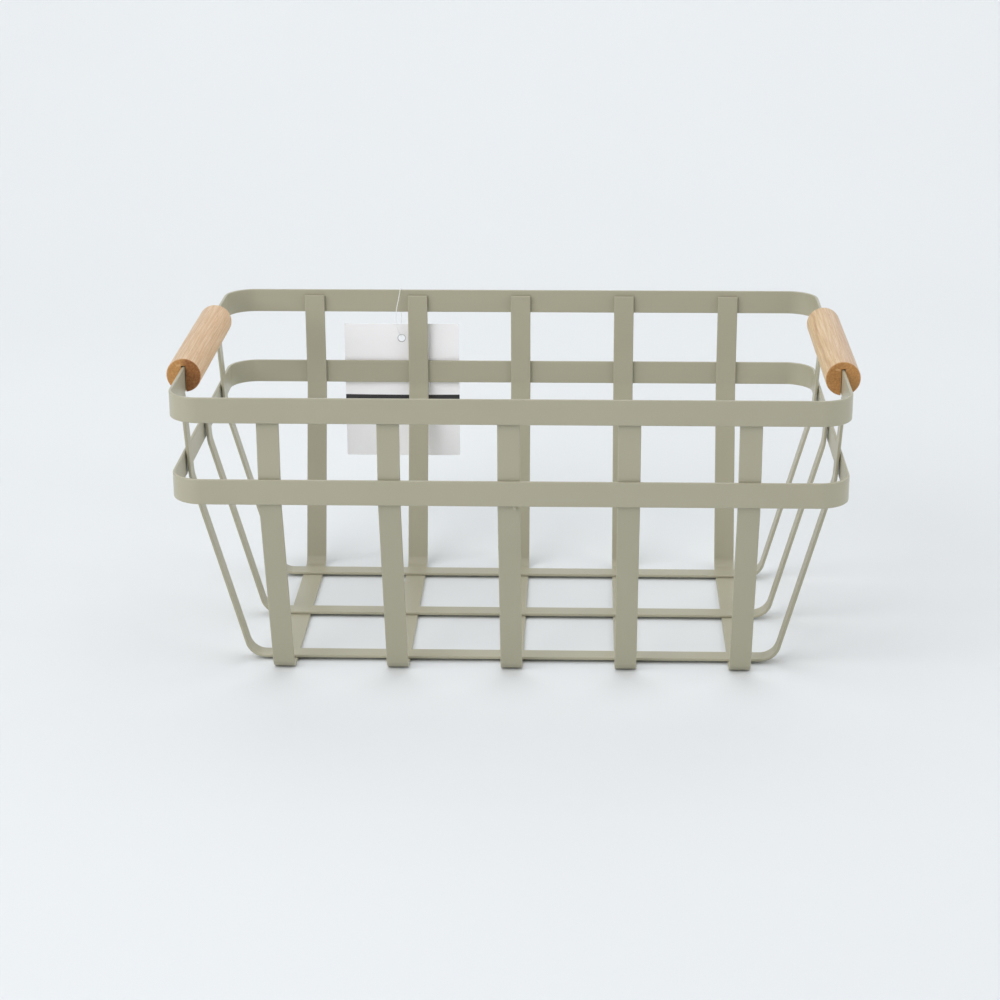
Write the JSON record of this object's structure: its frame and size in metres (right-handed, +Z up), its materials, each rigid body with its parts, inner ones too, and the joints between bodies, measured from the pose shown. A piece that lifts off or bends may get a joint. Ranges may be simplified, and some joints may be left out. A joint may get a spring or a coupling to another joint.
{
  "type": "wire basket",
  "caption": "Open storage basket of painted flat steel strip with sides that lean inwards to the base, wooden dowel handles slotted over the rim's ends and a blank hang tag.",
  "frame": {"origin": "on the table, under the middle of the basket", "axes": "+X along the basket towards the right handle, +Y towards the back wall with the tag, +Z up"},
  "size_m": [0.346, 0.2195, 0.1579],
  "materials": {
    "painted_steel": "satin powder coat, warm grey",
    "handle_wood": "sanded beech dowel, clear satin",
    "tag_card": "smooth white card",
    "tag_thread": "translucent nylon thread"
  },
  "bodies": {
    "basket": {"top_rim": "painted_steel", "mid_band": "painted_steel", "cross_strip_1": "painted_steel", "cross_strip_2": "painted_steel", "cross_strip_3": "painted_steel", "cross_strip_4": "painted_steel", "cross_strip_5": "painted_steel", "long_strip_front": "painted_steel", "long_strip_middle": "painted_steel", "long_strip_back": "painted_steel", "handle_left": "handle_wood", "handle_right": "handle_wood"},
    "tag": {"hang_tag": "tag_card", "tag_loop": "tag_thread"}
  },
  "joints": [
    {"name": "tag_swing", "type": "hinge", "parent": "basket", "child": "tag", "pos_m": [-0.06757, 0.10725, 0.1535], "axis": [1, 0, 0], "range_deg": [0, 25]}
  ]
}
